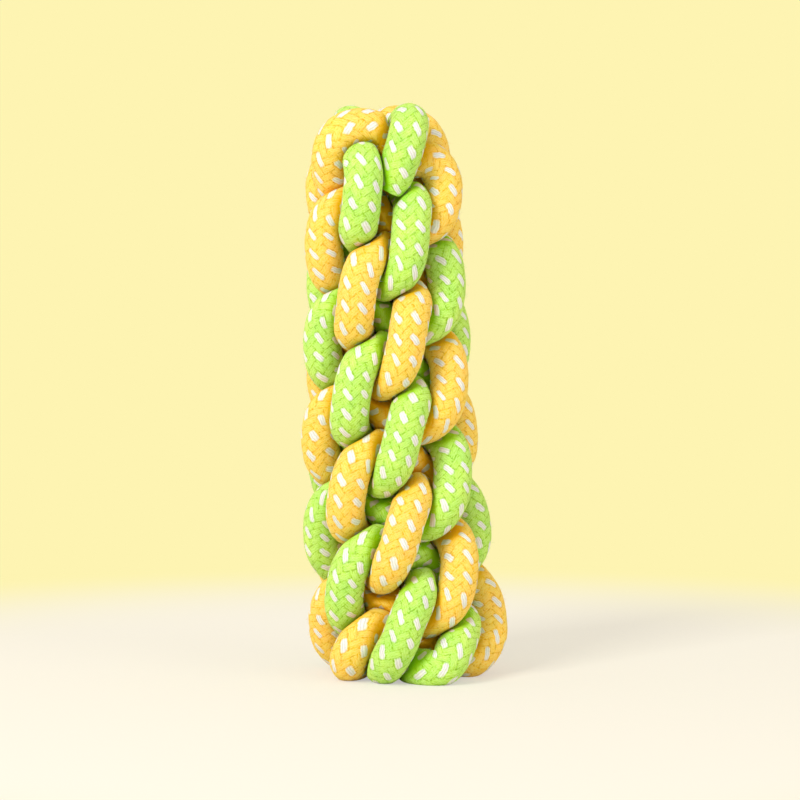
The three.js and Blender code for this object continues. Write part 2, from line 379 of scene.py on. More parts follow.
@dataclass
class Route:
    """A cord's centre line at an even spacing, with a frame that turns as little as it can."""

    points: Array
    spacing: float
    knot: Knot
    fine: int = 24
    softness: float = 0.0015

    def __post_init__(self) -> None:
        """Draws the curve through the points, spaces it evenly and carries the frame along it."""
        curve = self.drawn()
        length = np.linalg.norm(np.diff(curve, axis=0), axis=1).cumsum()
        way = np.concatenate([[0], length])
        count = int(way[-1] / self.spacing)
        self.travelled = np.linspace(0, way[-1], count + 1)
        even = np.stack([np.interp(self.travelled, way, axis) for axis in curve.T], axis=1)
        self.centres = softened(even, self.softness / self.spacing)
        tangents = np.gradient(self.centres, axis=0)
        self.tangents = tangents / np.linalg.norm(tangents, axis=1, keepdims=True)
        self.reach = np.hypot(self.centres[:, 0] - self.knot.axis_x(self.centres[:, 2]), self.centres[:, 1])
        self.carry_frame()

    def drawn(self) -> Array:
        """Draws a centripetal Catmull-Rom curve through the points.

        Returns:
            Rows of x, y and z: between two points a cubic whose slopes are those of the parabolas through
            each point and its neighbours, timed by the square root of their distances.
        """
        first = 2 * self.points[:1] - self.points[1:2]
        last = 2 * self.points[-1:] - self.points[-2:-1]
        points = np.concatenate([first, self.points, last])
        gaps = np.sqrt(np.linalg.norm(np.diff(points, axis=0), axis=1))[:, None]
        speeds = np.diff(points, axis=0) / gaps
        spans = (points[2:] - points[:-2]) / (gaps[1:] + gaps[:-1])
        slopes = speeds[:-1] - spans + speeds[1:]
        start, end = points[1:-2, None], points[2:-1, None]
        rise, fall = (slopes[:-1] * gaps[1:-1])[:, None], (slopes[1:] * gaps[1:-1])[:, None]
        w = np.arange(self.fine)[None, :, None] / self.fine
        cubic = (
            start * (2 * w**3 - 3 * w**2 + 1)
            + rise * (w**3 - 2 * w**2 + w)
            + end * (3 * w**2 - 2 * w**3)
            + fall * (w**3 - w**2)
        )
        return np.concatenate([cubic.reshape(-1, 3), points[-2:-1]])

    def carry_frame(self) -> None:
        """Carries a normal along the centres, made square to each tangent in turn."""
        normals = np.empty_like(self.tangents)
        normal = np.array([0.0, 0.0, 1.0])
        for row, tangent in enumerate(self.tangents):
            normal = normal - normal.dot(tangent) * tangent
            normal /= np.linalg.norm(normal)
            normals[row] = normal
        self.normals = normals
        self.binormals = np.cross(self.tangents, normals)

    def outward(self, turns: Array) -> Array:
        """Works out the directions round every centre.

        Args:
            turns: Angles round the cord, in radians.

        Returns:
            A grid of unit vectors: normal times cosine plus binormal times sine.
        """
        across = self.normals[:, None] * np.cos(turns)[None, :, None]
        return across + self.binormals[:, None] * np.sin(turns)[None, :, None]

    def cosines(self, rows: slice | Array, units: Array, turns: Array) -> Array:
        """Works out how much each side of the cord faces a direction.

        Args:
            rows: The centres.
            units: A unit vector for each of them.
            turns: Angles round the cord.

        Returns:
            A row for each centre: the cosine between each side and the vector, or a little where it is less.
        """
        facing = [np.einsum("rc,rc->r", units, way[rows]) for way in (self.normals, self.binormals)]
        sides = np.stack([np.cos(turns), np.sin(turns)])
        return np.maximum(np.stack(facing, axis=1) @ sides, LEAST_COSINE)


@dataclass(frozen=True)
class Softness:
    """How a soft cord gives way, in metres and shares."""

    radius: float = 0.006
    clearance: float = 0.0001
    own_stretch: float = 0.0204
    press_range: float = 0.0156
    inner_bend_share: float = 0.88
    rounding: float = 0.0014
    most_swelling: float = 1.04
    sheltered_share: float = 0.86
    open_share: float = 1.4
    winner_gain: float = 0.1
    upper_weight: float = 0.6
    swelling_power: float = 0.3
    swelling_blur: float = 6.0
    openness_blur: float = 1.5
    ring_step: int = 2
    batch: int = 256

    def radii(self, route: Route, turns: Array, routes: list[Route]) -> tuple[Array, Array]:
        """Works out how far the cord's surface is from its centre line, and how open it lies.

        A side goes no further than half way to a neighbour's centre line, less half the clearance, and on
        the inner side of a bend it stops short of the bend's other side. A squeezed cord swells on its free
        sides.

        Args:
            route: The cord's centre line.
            turns: Angles round the cord.
            routes: All centre lines that may press on it, its own too.

        Returns:
            A grid of radii, one row for each centre, and one of openness, from 0 where a neighbour presses
            on the cord to 1 where the nearest one is well away.
        """
        limits = self.press_limits(route, turns, routes)
        # Openness leads the painted shade that the material lays where cords press together.
        openness = smooth_step(limits / self.radius, self.sheltered_share, self.open_share)
        openness = softened(openness, self.openness_blur)
        limits = np.minimum(limits, self.bend_limits(route, turns))
        pressed = smooth_least(np.full_like(limits, self.radius), limits, self.rounding)
        fullness = np.mean(pressed**2, axis=1, keepdims=True) / self.radius**2
        swelling = np.clip(fullness**-self.swelling_power, 1, self.most_swelling)
        swelling = softened(swelling, self.swelling_blur)
        return smooth_least(self.radius * swelling + 0 * limits, limits, self.rounding), openness

    def bend_limits(self, route: Route, turns: Array) -> Array:
        """Works out how far each side may go before it folds into its own cord, round a bend.

        Args:
            route: The cord's centre line.
            turns: Angles round the cord.

        Returns:
            A grid of radii: the least, over the centres up to the own stretch before and after, of a share
            of half the distance over the cosine between the side and that centre. On an even bend this is
            the share of the bend's radius.
        """
        limits = np.full((len(route.centres), len(turns)), 2 * self.radius)
        for step in range(self.ring_step, int(self.own_stretch / route.spacing), self.ring_step):
            ahead = route.centres[step:] - route.centres[:-step]
            half_gap = np.linalg.norm(ahead, axis=1, keepdims=True) / 2
            for rows, unit in ((slice(None, -step), ahead), (slice(step, None), -ahead)):
                cosine = route.cosines(rows, unit / (2 * half_gap), turns)
                limits[rows] = np.minimum(limits[rows], self.inner_bend_share * half_gap / cosine)
        return limits

    def press_limits(self, route: Route, turns: Array, routes: list[Route]) -> Array:
        """Works out how far each side may go before it meets the plane between it and a neighbour.

        The plane is half way where both lie as far out and as high. Otherwise it is nearer to the inner or
        lower one, because the other one is pulled tight over it and keeps its round shape.

        Args:
            route: The cord's centre line.
            turns: Angles round the cord.
            routes: All centre lines that may press on it, its own too.

        Returns:
            A grid of radii: the least, over all near spots of the neighbours, of this side's share of the
            distance less the clearance, over the cosine between the side and the spot.
        """
        limits = np.full((len(route.centres), len(turns)), 2 * self.radius)
        for other in routes:
            spots, way, reach = (
                values[:: self.ring_step] for values in (other.centres, other.travelled, other.reach)
            )
            for first in range(0, len(route.centres), self.batch):
                rows = slice(first, first + self.batch)
                towards = spots[None] - route.centres[rows, None]
                distance = np.linalg.norm(towards, axis=2)
                near = distance < self.press_range
                if other is route:
                    near &= np.abs(way[None] - route.travelled[rows, None]) > self.own_stretch
                ring, spot = np.nonzero(near)
                if not len(ring):
                    continue
                gap = distance[ring, spot]
                ring_here = ring + first
                cosine = route.cosines(ring_here, towards[ring, spot] / gap[:, None], turns)
                further = route.reach[ring_here] - reach[spot]
                higher = -towards[ring, spot, 2]
                lead = (further + self.upper_weight * higher) / self.radius
                share = 0.5 + self.winner_gain * np.clip(lead, -1, 1)
                allowed = (share * (gap - self.clearance))[:, None] / cosine
                starts = np.flatnonzero(np.diff(ring_here, prepend=-1))
                least = np.minimum.reduceat(allowed, starts, axis=0)
                limits[ring_here[starts]] = np.minimum(limits[ring_here[starts]], least)
        return limits


@dataclass(frozen=True)
class Braid:
    """A braided cover of 24 yarns, twelve each way, in a two over two twill. Round the cord the yarns are
    3.1 mm apart and along it 2.6 mm, which makes each 2 mm wide and its visible stretch 4 mm long, as the
    undyed ones show in the photograph."""

    yarns_each_way: int = 12
    yarn_rise: float = 0.0026
    relief: float = 0.00012
    twist: float = 1.2
    twist_length: float = 9.0
    wander: float = 0.16
    wander_lengths: Triple = (1.9, 2.6, 4.3)

    def coordinates(self, travelled: Array, turns: Array) -> Array:
        """Works out where the braid's cells lie on the surface.

        Args:
            travelled: The way along the cord, in metres.
            turns: Angles round the cord, from 0 to a full turn.

        Returns:
            A grid of x round the cord and y along it, in yarns. Slow waves let the yarns wander.
        """
        way = travelled[:, None] / self.yarn_rise
        turn = turns[None, :]
        x = self.yarns_each_way * turn / (2 * np.pi) + 0 * way
        short, middling, long = self.wander_lengths
        x = x + self.twist * np.sin(way / self.twist_length) + self.wander * np.sin(way / short + turn)
        y = way + self.wander * np.sin(way / middling + 2 * turn) + self.wander * np.sin(way / long - turn)
        return np.stack([x, y], axis=2)

    def raised(self, coordinates: Array) -> Array:
        """Works out the braid's relief.

        Args:
            coordinates: A grid of x round the cord and y along it, in yarns.

        Returns:
            How high the yarn on top stands, from 0 in a groove to 1 on its crown.
        """
        known = {"x": coordinates[..., 0], "y": coordinates[..., 1]}
        for name, operation, *values in BRAID_STEPS:
            known[name] = NUMPY_STEPS[operation](*(known.get(v, v) for v in values))
        return known["height"]


def add_node(tree: Tree, kind: str, inputs: dict, **settings: object) -> bpy.types.Node:
    """Adds a node, sets it up and links it.

    Args:
        tree: The material's or world's tree.
        kind: The node's type name.
        inputs: A value or an output for each input, by its name or number.
        settings: The node's own settings.

    Returns:
        The new node.
    """
    node = tree.nodes.new(kind)
    for name, value in settings.items():
        setattr(node, name, value)
    for key, value in inputs.items():
        if isinstance(value, Socket):
            tree.links.new(value, node.inputs[key])
        else:
            node.inputs[key].default_value = value
    return node


def calculated(tree: Tree, operation: str, *values: Socket | float) -> Socket:
    """Adds a Math node and gives its result."""
    return add_node(tree, "ShaderNodeMath", dict(enumerate(values)), operation=operation).outputs[0]


def ranged(tree: Tree, value: Socket, span: Span, results: Span = (0.0, 1.0), **settings: str) -> Socket:
    """Maps a value from a span to results, and no further than their ends."""
    inputs = dict(zip(("From Min", "From Max", "To Min", "To Max"), (*span, *results)))
    return add_node(tree, "ShaderNodeMapRange", {"Value": value, **inputs}, **settings).outputs["Result"]


def mixed(tree: Tree, share: Socket, *colours: Socket | str) -> Socket:
    """Mixes two colours, each a socket or six sRGB digits, by the share of the second."""
    first, second = (linear(colour) if isinstance(colour, str) else colour for colour in colours)
    return add_node(tree, "ShaderNodeMix", {0: share, 6: first, 7: second}, data_type="RGBA").outputs[2]


def noise(tree: Tree, place: Socket, size: float, output: str = "Fac", **settings: float) -> Socket:
    """Adds noise whose largest waves have the given size, and gives one of its outputs."""
    inputs = {"Vector": place, "Scale": 1 / size, "Detail": NOISE_DETAIL, **settings}
    return add_node(tree, "ShaderNodeTexNoise", inputs).outputs[output]


@dataclass(frozen=True)
class CottonFinish:
    """Dyed cotton yarn, spun soft and braided.

    Cotton is matt, because its fibres scatter light every way, and a thin halo of loose fibres gives it a
    soft sheen against the light. Light also spreads a little inside it, which softens its shadows and makes
    them purer in colour. Its colour is painted paler on the crowns of the yarns and darker between them,
    as light and shade of the braid's relief, mixed with the random tone of its fibres. A purer, darker
    colour is painted as shade where a neighbour presses on it. The dye takes unevenly, in patches of a few
    millimetres. One yarn in four is left undyed, near white.

    A yarn is 2 mm wide. It is plied from threads of 0.7 mm, three of which show side by side, and these are
    spun from fibres of 0.02 mm, which are drawn as strands of 0.25 mm and as specks of 0.4 mm so that they
    show. The lines between the threads and the slits between yarns are painted dark as shade, the slits in
    stretches of about 0.8 mm where the fuzz doesn't cover them.
    """

    name: str
    slot: str
    # Crown and groove: painted light and shade of the braid's relief, mixed with random fibre tone.
    crown: str
    groove: str
    # Painted shade where a neighbour presses on the cord.
    contact_shade: str
    # Painted shade in the slits between yarns.
    slit_shade: str
    fleck: str = "ECEFF4"
    # Painted shade in the lines between the threads of the undyed yarn.
    fleck_groove: str = "C8C6C6"
    # Painted shade of the undyed yarn where a neighbour presses on it.
    fleck_contact_shade: str = "CCC8B0"
    roughness: float = 0.92
    specular: float = 0.1
    sheen: float = 0.22
    sheen_roughness: float = 0.35
    sheen_tint: str = "FFF1B0"
    glow_weight: float = 0.25
    glow_colours: Triple = (1.0, 0.8, 0.15)
    glow_depth: float = 0.0015
    threads_per_yarn: float = 3.0
    strands_across: float = 8.0
    strands_along: float = 2.8
    strand_shift: float = 5.17
    strand_roughness: float = 0.6
    # Groove to crown lift: painted shade by relief and thread lines, random tone by strands.
    dye_strands: float = 8.0
    thread_shade: float = 0.35
    shade_and_grain_span: Span = (2.0, 6.4)
    patch_size: float = 0.006
    patch_span: Span = (0.3, 0.7)
    patch_shades: Span = (0.94, 1.04)
    patch_hues: Span = (0.51, 0.49)
    saturation: float = 1.03
    fleck_threads: Span = (-1.0, 0.6)
    fleck_least: float = 0.35
    fleck_half_width: float = 0.93
    fleck_half_length: float = 0.9
    fleck_power: float = 4.0
    fleck_edge: Span = (1.16, 0.84)
    fray: float = 0.25
    fibre_size: float = 0.0004
    fibre_detail: float = 3.0
    fibre_roughness: float = 0.65
    # Where the painted shade of the slits lies, and how strong it is.
    slit_sides: Span = (0.72, 0.95)
    slit_ends: Span = (0.8, 0.95)
    dash_size: float = 0.0008
    dash_cover: Span = (0.47, 0.58)
    dash_strength: float = 0.5
    wobble_size: float = 0.0011
    wobble: float = 0.24
    bump_strands: float = 4.0
    bump_threads: float = 0.3
    bump_strength: float = 0.45
    bump_depth: float = 0.0002

    def material(self) -> bpy.types.Material:
        """Makes the material.

        Returns:
            A material that reads the braid's cells from the piece's UV map.
        """
        material = bpy.data.materials.new(self.name)
        material.use_nodes = True
        tree = material.node_tree
        shader = tree.nodes["Principled BSDF"]
        shader.inputs["Roughness"].default_value = self.roughness
        shader.inputs["Specular IOR Level"].default_value = self.specular
        shader.inputs["Sheen Weight"].default_value = self.sheen
        shader.inputs["Sheen Roughness"].default_value = self.sheen_roughness
        shader.inputs["Sheen Tint"].default_value = linear(self.sheen_tint)
        shader.inputs["Subsurface Weight"].default_value = self.glow_weight
        shader.inputs["Subsurface Radius"].default_value = self.glow_colours
        shader.inputs["Subsurface Scale"].default_value = self.glow_depth
        known = self.braid_sockets(tree)
        spin = calculated(tree, "MULTIPLY", known["across"], math.pi * self.threads_per_yarn)
        known["threads"] = calculated(tree, "COSINE", spin)
        known["strands"] = self.strands(tree, known)
        tree.links.new(self.colour(tree, known), shader.inputs["Base Color"])
        ply = calculated(tree, "MULTIPLY_ADD", known["threads"], self.bump_threads, known["height"])
        rough = calculated(tree, "MULTIPLY_ADD", known["strands"], self.bump_strands, ply)
        inputs = {"Height": rough, "Strength": self.bump_strength, "Distance": self.bump_depth}
        bump = add_node(tree, "ShaderNodeBump", inputs)
        tree.links.new(bump.outputs["Normal"], shader.inputs["Normal"])
        return material

    def braid_sockets(self, tree: Tree) -> dict[str, Socket]:
        """Works out the point on the object and the braid's steps as Math nodes.

        Args:
            tree: The material's tree.

        Returns:
            Each result's socket by its name.
        """
        cells = add_node(tree, "ShaderNodeUVMap", {}, uv_map="braid").outputs["UV"]
        point = add_node(tree, "ShaderNodeTexCoord", {}).outputs["Object"]
        inputs = {0: noise(tree, point, self.wobble_size, "Color"), 1: (0.5, 0.5, 0.5)}
        centred = add_node(tree, "ShaderNodeVectorMath", inputs, operation="SUBTRACT").outputs[0]
        inputs = {0: centred, 1: (self.wobble, self.wobble, 0.0), 2: cells}
        shaken = add_node(tree, "ShaderNodeVectorMath", inputs, operation="MULTIPLY_ADD").outputs[0]
        parts = add_node(tree, "ShaderNodeSeparateXYZ", {"Vector": shaken}).outputs
        known = {"point": point, "x": parts["X"], "y": parts["Y"]}
        for name, operation, *values in BRAID_STEPS:
            known[name] = calculated(tree, operation, *(known.get(value, value) for value in values))
        return known

    def strands(self, tree: Tree, known: dict[str, Socket]) -> Socket:
        """Draws the fine strands that a yarn is spun from, as noise stretched along the yarn.

        Args:
            tree: The material's tree.
            known: The sockets so far by name.

        Returns:
            The noise's socket.
        """
        across = calculated(tree, "MULTIPLY", known["across"], self.strands_across)
        along = calculated(tree, "MULTIPLY", known["along"], self.strands_along)
        apart = calculated(tree, "MULTIPLY", known["yarn"], self.strand_shift)
        vector = add_node(tree, "ShaderNodeCombineXYZ", {"X": across, "Y": along, "Z": apart}).outputs[0]
        return noise(tree, vector, 1.0, Roughness=self.strand_roughness)

    def colour(self, tree: Tree, known: dict[str, Socket]) -> Socket:
        """Colours the yarns, with painted shade in grooves and slits and where a neighbour presses on them.

        Args:
            tree: The material's tree.
            known: The sockets so far by name.

        Returns:
            The colour's socket, which varies in patches, as uneven dye does.
        """
        # Paler crowns, darker grooves: painted light and shade, mixed with random fibre tone.
        combed = calculated(tree, "MULTIPLY_ADD", known["strands"], self.dye_strands, known["height"])
        # The thread lines add painted shade between the threads.
        lined = calculated(tree, "MULTIPLY_ADD", known["threads"], self.thread_shade, combed)
        lift = ranged(tree, lined, self.shade_and_grain_span, interpolation_type="SMOOTHSTEP")
        dyed = mixed(tree, lift, self.groove, self.crown)
        # Painted shade in the slits between yarns.
        dyed = mixed(tree, self.dashes(tree, known), dyed, self.slit_shade)
        # Painted shade in the lines between the threads of the undyed yarn.
        bare_lift = ranged(tree, known["threads"], self.fleck_threads, (self.fleck_least, 1.0))
        bare = mixed(tree, bare_lift, self.fleck_groove, self.fleck)
        fleck = calculated(tree, "MULTIPLY", known["white"], self.rounded(tree, known))
        # Painted shade where a neighbour presses on the cord, by the attribute openness.
        contact_shaded = mixed(tree, fleck, self.contact_shade, self.fleck_contact_shade)
        open_colour = mixed(tree, fleck, dyed, bare)
        openness = add_node(tree, "ShaderNodeAttribute", {}, attribute_name="openness").outputs["Fac"]
        patches = noise(tree, known["point"], self.patch_size)
        inputs = {
            "Hue": ranged(tree, patches, self.patch_span, self.patch_hues),
            "Saturation": self.saturation,
            "Value": ranged(tree, patches, self.patch_span, self.patch_shades),
            "Color": mixed(tree, openness, contact_shaded, open_colour),
        }
        return add_node(tree, "ShaderNodeHueSaturation", inputs).outputs["Color"]

    def rounded(self, tree: Tree, known: dict[str, Socket]) -> Socket:
        """Draws the visible part of an undyed yarn, with round corners and fibres across its edge.

        Args:
            tree: The material's tree.
            known: The sockets so far by name.

        Returns:
            A socket that falls from 1 inside to 0 outside the curve edge ** 4 + end ** 4 = 1, where each is
            measured in shares of the yarn's visible half width and half length.
        """
        grain = {"Detail": self.fibre_detail, "Roughness": self.fibre_roughness}
        fibres = noise(tree, known["point"], self.fibre_size, **grain)
        frayed = calculated(tree, "MULTIPLY_ADD", fibres, self.fray, known["edge"])
        powers = []
        for way, half in ((frayed, self.fleck_half_width), (known["end"], self.fleck_half_length)):
            share = calculated(tree, "DIVIDE", way, half)
            powers.append(calculated(tree, "POWER", share, self.fleck_power))
        out = calculated(tree, "POWER", calculated(tree, "ADD", *powers), 1 / self.fleck_power)
        return ranged(tree, out, self.fleck_edge)

    def dashes(self, tree: Tree, known: dict[str, Socket]) -> Socket:
        """Paints shade into the slits between yarns, in short dashes where the fuzz doesn't cover them.

        Args:
            tree: The material's tree.
            known: The sockets so far by name.

        Returns:
            A socket that is 0 on the yarns and the dashes' strength in the slits.
        """
        beside = ranged(tree, known["edge"], self.slit_sides)
        behind = ranged(tree, known["end"], self.slit_ends)
        cover = noise(tree, known["point"], self.dash_size)
        bare = ranged(tree, cover, self.dash_cover, (0.0, self.dash_strength))
        return calculated(tree, "MULTIPLY", calculated(tree, "MAXIMUM", beside, behind), bare)


def tube_mesh(name: str, grid: Array, cells: Array, openness: Array) -> bpy.types.Mesh:
    """Makes a closed tube from a grid of points.

    Args:
        name: The mesh's name.
        grid: Rows of rings, each with its points in turn round the tube.
        cells: The UV of each point, with one more column than the grid, where the tube closes.
        openness: How open each point of the grid lies.

    Returns:
        A mesh of four-sided faces along the tube and a fan of triangles at each end.
    """
    rings, sides = grid.shape[:2]
    hubs = np.stack([grid[0].mean(axis=0), grid[-1].mean(axis=0)])
    points = np.concatenate([grid.reshape(-1, 3), hubs])
    ring, side = np.meshgrid(np.arange(rings - 1), np.arange(sides), indexing="ij")
    after = (side + 1) % sides
    quads = np.stack([ring, ring, ring + 1, ring + 1], axis=2) * sides
    quads = (quads + np.stack([side, after, after, side], axis=2)).reshape(-1, 4)
    spot = np.arange(sides)
    beyond = (spot + 1) % sides
    last = (rings - 1) * sides
    start_fan = np.stack([np.full(sides, rings * sides), beyond, spot], axis=1)
    end_fan = np.stack([np.full(sides, rings * sides + 1), last + spot, last + beyond], axis=1)
    corners = np.concatenate([quads.ravel(), start_fan.ravel(), end_fan.ravel()])
    sizes = np.concatenate([np.full(len(quads), 4), np.full(2 * sides, 3)])
    uv_quads = np.stack(
        [cells[ring, side], cells[ring, side + 1], cells[ring + 1, side + 1], cells[ring + 1, side]], axis=2
    ).reshape(-1, 2)
    uv_fans = [
        np.stack([cells[row, spot], cells[row, spot + 1], cells[row, spot]], axis=1).reshape(-1, 2)
        for row in (0, -1)
    ]
    open_points = np.concatenate([openness.ravel(), openness[[0, -1]].mean(axis=1)])
    return smooth_mesh(name, points, corners, sizes, np.concatenate([uv_quads, *uv_fans]), open_points)


def smooth_mesh(
    name: str,
    points: Array,
    corners: Array,
    sizes: Array,
    cells: Array,
    openness: Array,
) -> bpy.types.Mesh:
    """Puts whole arrays into a new mesh.

    Args:
        name: The mesh's name.
        points: Rows of x, y and z.
        corners: The point at each corner of each face in turn.
        sizes: How many corners each face has.
        cells: The UV of each corner, in the map "braid".
        openness: How open each point lies, in the attribute "openness".

    Returns:
        The mesh, shaded smooth.
    """
    mesh = bpy.data.meshes.new(name)
    mesh.vertices.add(len(points))
    mesh.vertices.foreach_set("co", points.ravel().astype(np.float32))
    mesh.loops.add(len(corners))
    mesh.loops.foreach_set("vertex_index", corners.astype(np.int32))
    mesh.polygons.add(len(sizes))
    mesh.polygons.foreach_set("loop_start", (np.cumsum(sizes) - sizes).astype(np.int32))
    mesh.uv_layers.new(name="braid")
    mesh.uv_layers["braid"].data.foreach_set("uv", cells.ravel().astype(np.float32))
    lying = mesh.attributes.new("openness", "FLOAT", "POINT")
    lying.data.foreach_set("value", openness.astype(np.float32))
    mesh.polygons.foreach_set("use_smooth", np.ones(len(sizes), bool))
    mesh.update(calc_edges=True)
    mesh.validate()
    return mesh


@dataclass(frozen=True)
class Fuzz:
    """Loose ends of cotton fibres that stand off the yarns, wherever nothing presses on them. They are drawn
    0.07 mm thick, where real ones are 0.02 mm, so that they show."""

    count: int = 13000
    lengths: Span = (0.0004, 0.001)
    thickness: float = 0.00007
    root_depth: float = 0.0002
    free_share: float = 0.97
    lean: float = 0.8
    lean_drop: float = 0.6
    curl: float = 0.5
    ring_ways: tuple[float, ...] = (0.0, 0.4, 0.75, 1.0)
    ring_sizes: Span = (1.0, 0.7)
    seed: int = 11

    def mesh(
        self, name: str, grid: Array, outward: Array, cells: Array, free: Array
    ) -> bpy.types.Mesh:
        """Makes all fibres of a cord.

        Args:
            name: The mesh's name.
            grid: The cord's surface.
            outward: The direction out of the cord at each of its points.
            cells: The braid's cells at its points, which give a fibre the colour of its yarn.
            free: The share of a full radius at its points.

        Returns:
            One spindle for each fibre: a root and a tip, and two rings of three points between them. Its
            middle line is root + length (direction w + curl w squared), where w goes from 0 to 1.
        """
        random = np.random.default_rng(self.seed)
        ring, side = np.nonzero(free > self.free_share)
        pick = random.integers(len(ring), size=self.count)
        ring, side = ring[pick], side[pick]
        out = outward[ring, side]
        sideways = np.cross(out, random.normal(size=out.shape))
        sideways /= np.linalg.norm(sideways, axis=1, keepdims=True)
        lean = self.lean * random.random((self.count, 1))
        towards = out * (1 - self.lean_drop * lean) + sideways * lean
        towards /= np.linalg.norm(towards, axis=1, keepdims=True)
        curl = self.curl * random.normal(size=out.shape)
        least, most = self.lengths
        length = least + (most - least) * random.random((self.count, 1)) ** 2
        root = grid[ring, side] - self.root_depth * out
        middle = [root + length * (towards * w + curl * w * w) for w in self.ring_ways]
        middle = np.stack(middle, axis=1)
        # The 0.01 keeps the second direction off the first where all its parts are equal.
        across = np.cross(towards, np.roll(towards, 1, axis=1) + 0.01)
        across /= np.linalg.norm(across, axis=1, keepdims=True)
        beyond = np.cross(towards, across)
        turn = np.arange(3) * 2 * np.pi / 3
        spokes = across[:, None] * np.cos(turn)[:, None] + beyond[:, None] * np.sin(turn)[:, None]
        sizes = np.array(self.ring_sizes)[:, None, None]
        rings = middle[:, 1:3, None] + spokes[:, None] * self.thickness / 2 * sizes
        points = np.concatenate([middle[:, :1], rings.reshape(self.count, 6, 3), middle[:, 3:]], axis=1)
        points[..., 2] = np.maximum(points[..., 2], 0)
        fans = [[0, 2, 1], [0, 3, 2], [0, 1, 3], [7, 4, 5], [7, 5, 6], [7, 6, 4]]
        quads = [[1, 2, 5, 4], [2, 3, 6, 5], [3, 1, 4, 6]]
        shape = np.array([*sum(fans, []), *sum(quads, [])])
        corners = shape[None] + points.shape[1] * np.arange(self.count)[:, None]
        sizes = np.tile([3] * len(fans) + [4] * len(quads), self.count)
        colours = np.repeat(cells[ring, side], len(shape), axis=0)
        points = points.reshape(-1, 3)
        return smooth_mesh(name, points, corners.ravel(), sizes, colours, np.ones(len(points)))


@dataclass
class BraidedCord:
    """One soft braided cord, knotted with the other from its middle to both ends, and its fuzz."""

    name: str
    node: str
    column: int
    crossing: Crossing
    finish: CottonFinish
    braid: Braid = Braid()
    softness: Softness = Softness()
    fuzz: Fuzz = Fuzz()
    spacing: float = 0.00054
    sides: int = 72

    def lay(self, knot: Knot) -> None:
        """Lays the cord's centre line in the knot."""
        self.route = Route(knot.cord(self.column, self.crossing), self.spacing, knot)

    def build(self, routes: list[Route]) -> None:
        """Makes the cord's two halves, from its middle under the stick to its ends, and its fuzz.

        A point of the surface is its centre plus the pressed radius, less the depth of the braid there, and
        no lower than the floor. The pieces ride on the body and replace the cord's solid.

        Args:
            routes: The centre lines of all cords.
        """
        turns = np.linspace(0, 2 * np.pi, self.sides + 1)
        cells = self.braid.coordinates(self.route.travelled, turns)
        radii, openness = self.softness.radii(self.route, turns[:-1], routes)
        free = radii / self.softness.radius
        radii = radii - self.braid.relief * (1 - self.braid.raised(cells[:, :-1]))
        outward = self.route.outward(turns[:-1])
        grid = self.route.centres[:, None] + radii[..., None] * outward
        grid[..., 2] = np.maximum(grid[..., 2], 0)
        middle = len(grid) // 2
        halves = {"first_half": slice(middle + 1), "second_half": slice(middle, None)}
        meshes = [
            tube_mesh(f"{self.name}_{half}", grid[rows], cells[rows], openness[rows])
            for half, rows in halves.items()
        ]
        meshes.append(self.fuzz.mesh(f"{self.name}_fuzz", grid, outward, cells, free))
        material = self.finish.material()
        for mesh in meshes:
            piece = bpy.data.objects.new(mesh.name, mesh)
            bpy.context.scene.collection.objects.link(piece)
            mesh.materials.append(material)
            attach(piece, BODY)
            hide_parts(self.node)
            LOG.info("%s: %d faces", piece.name, len(mesh.polygons))
        LOG.info("%s: %.0f mm long", self.name, 1000 * self.route.travelled[-1])


@dataclass(frozen=True)
class Lamp:
    """A square soft box that looks at the middle of the stick."""

    name: str
    place: Triple
    size: float
    watts: float
    colour: str = "FFFFFF"

    def build(self, target: Triple) -> None:
        """Makes the lamp and turns it to its target.

        Args:
            target: The place that it looks at.
        """
        light = bpy.data.lights.new(self.name, "AREA")
        light.shape = "SQUARE"
        light.size = self.size
        light.energy = self.watts
        light.color = linear(self.colour)[:3]
        lamp = bpy.data.objects.new(self.name, light)
        bpy.context.scene.collection.objects.link(lamp)
        lamp.location = self.place
        towards = np.array(target) - np.array(self.place)
        flat = math.hypot(towards[0], towards[1])
        turn = math.atan2(towards[1], towards[0]) - math.pi / 2
        lamp.rotation_euler = (math.atan2(flat, -towards[2]), 0, turn)


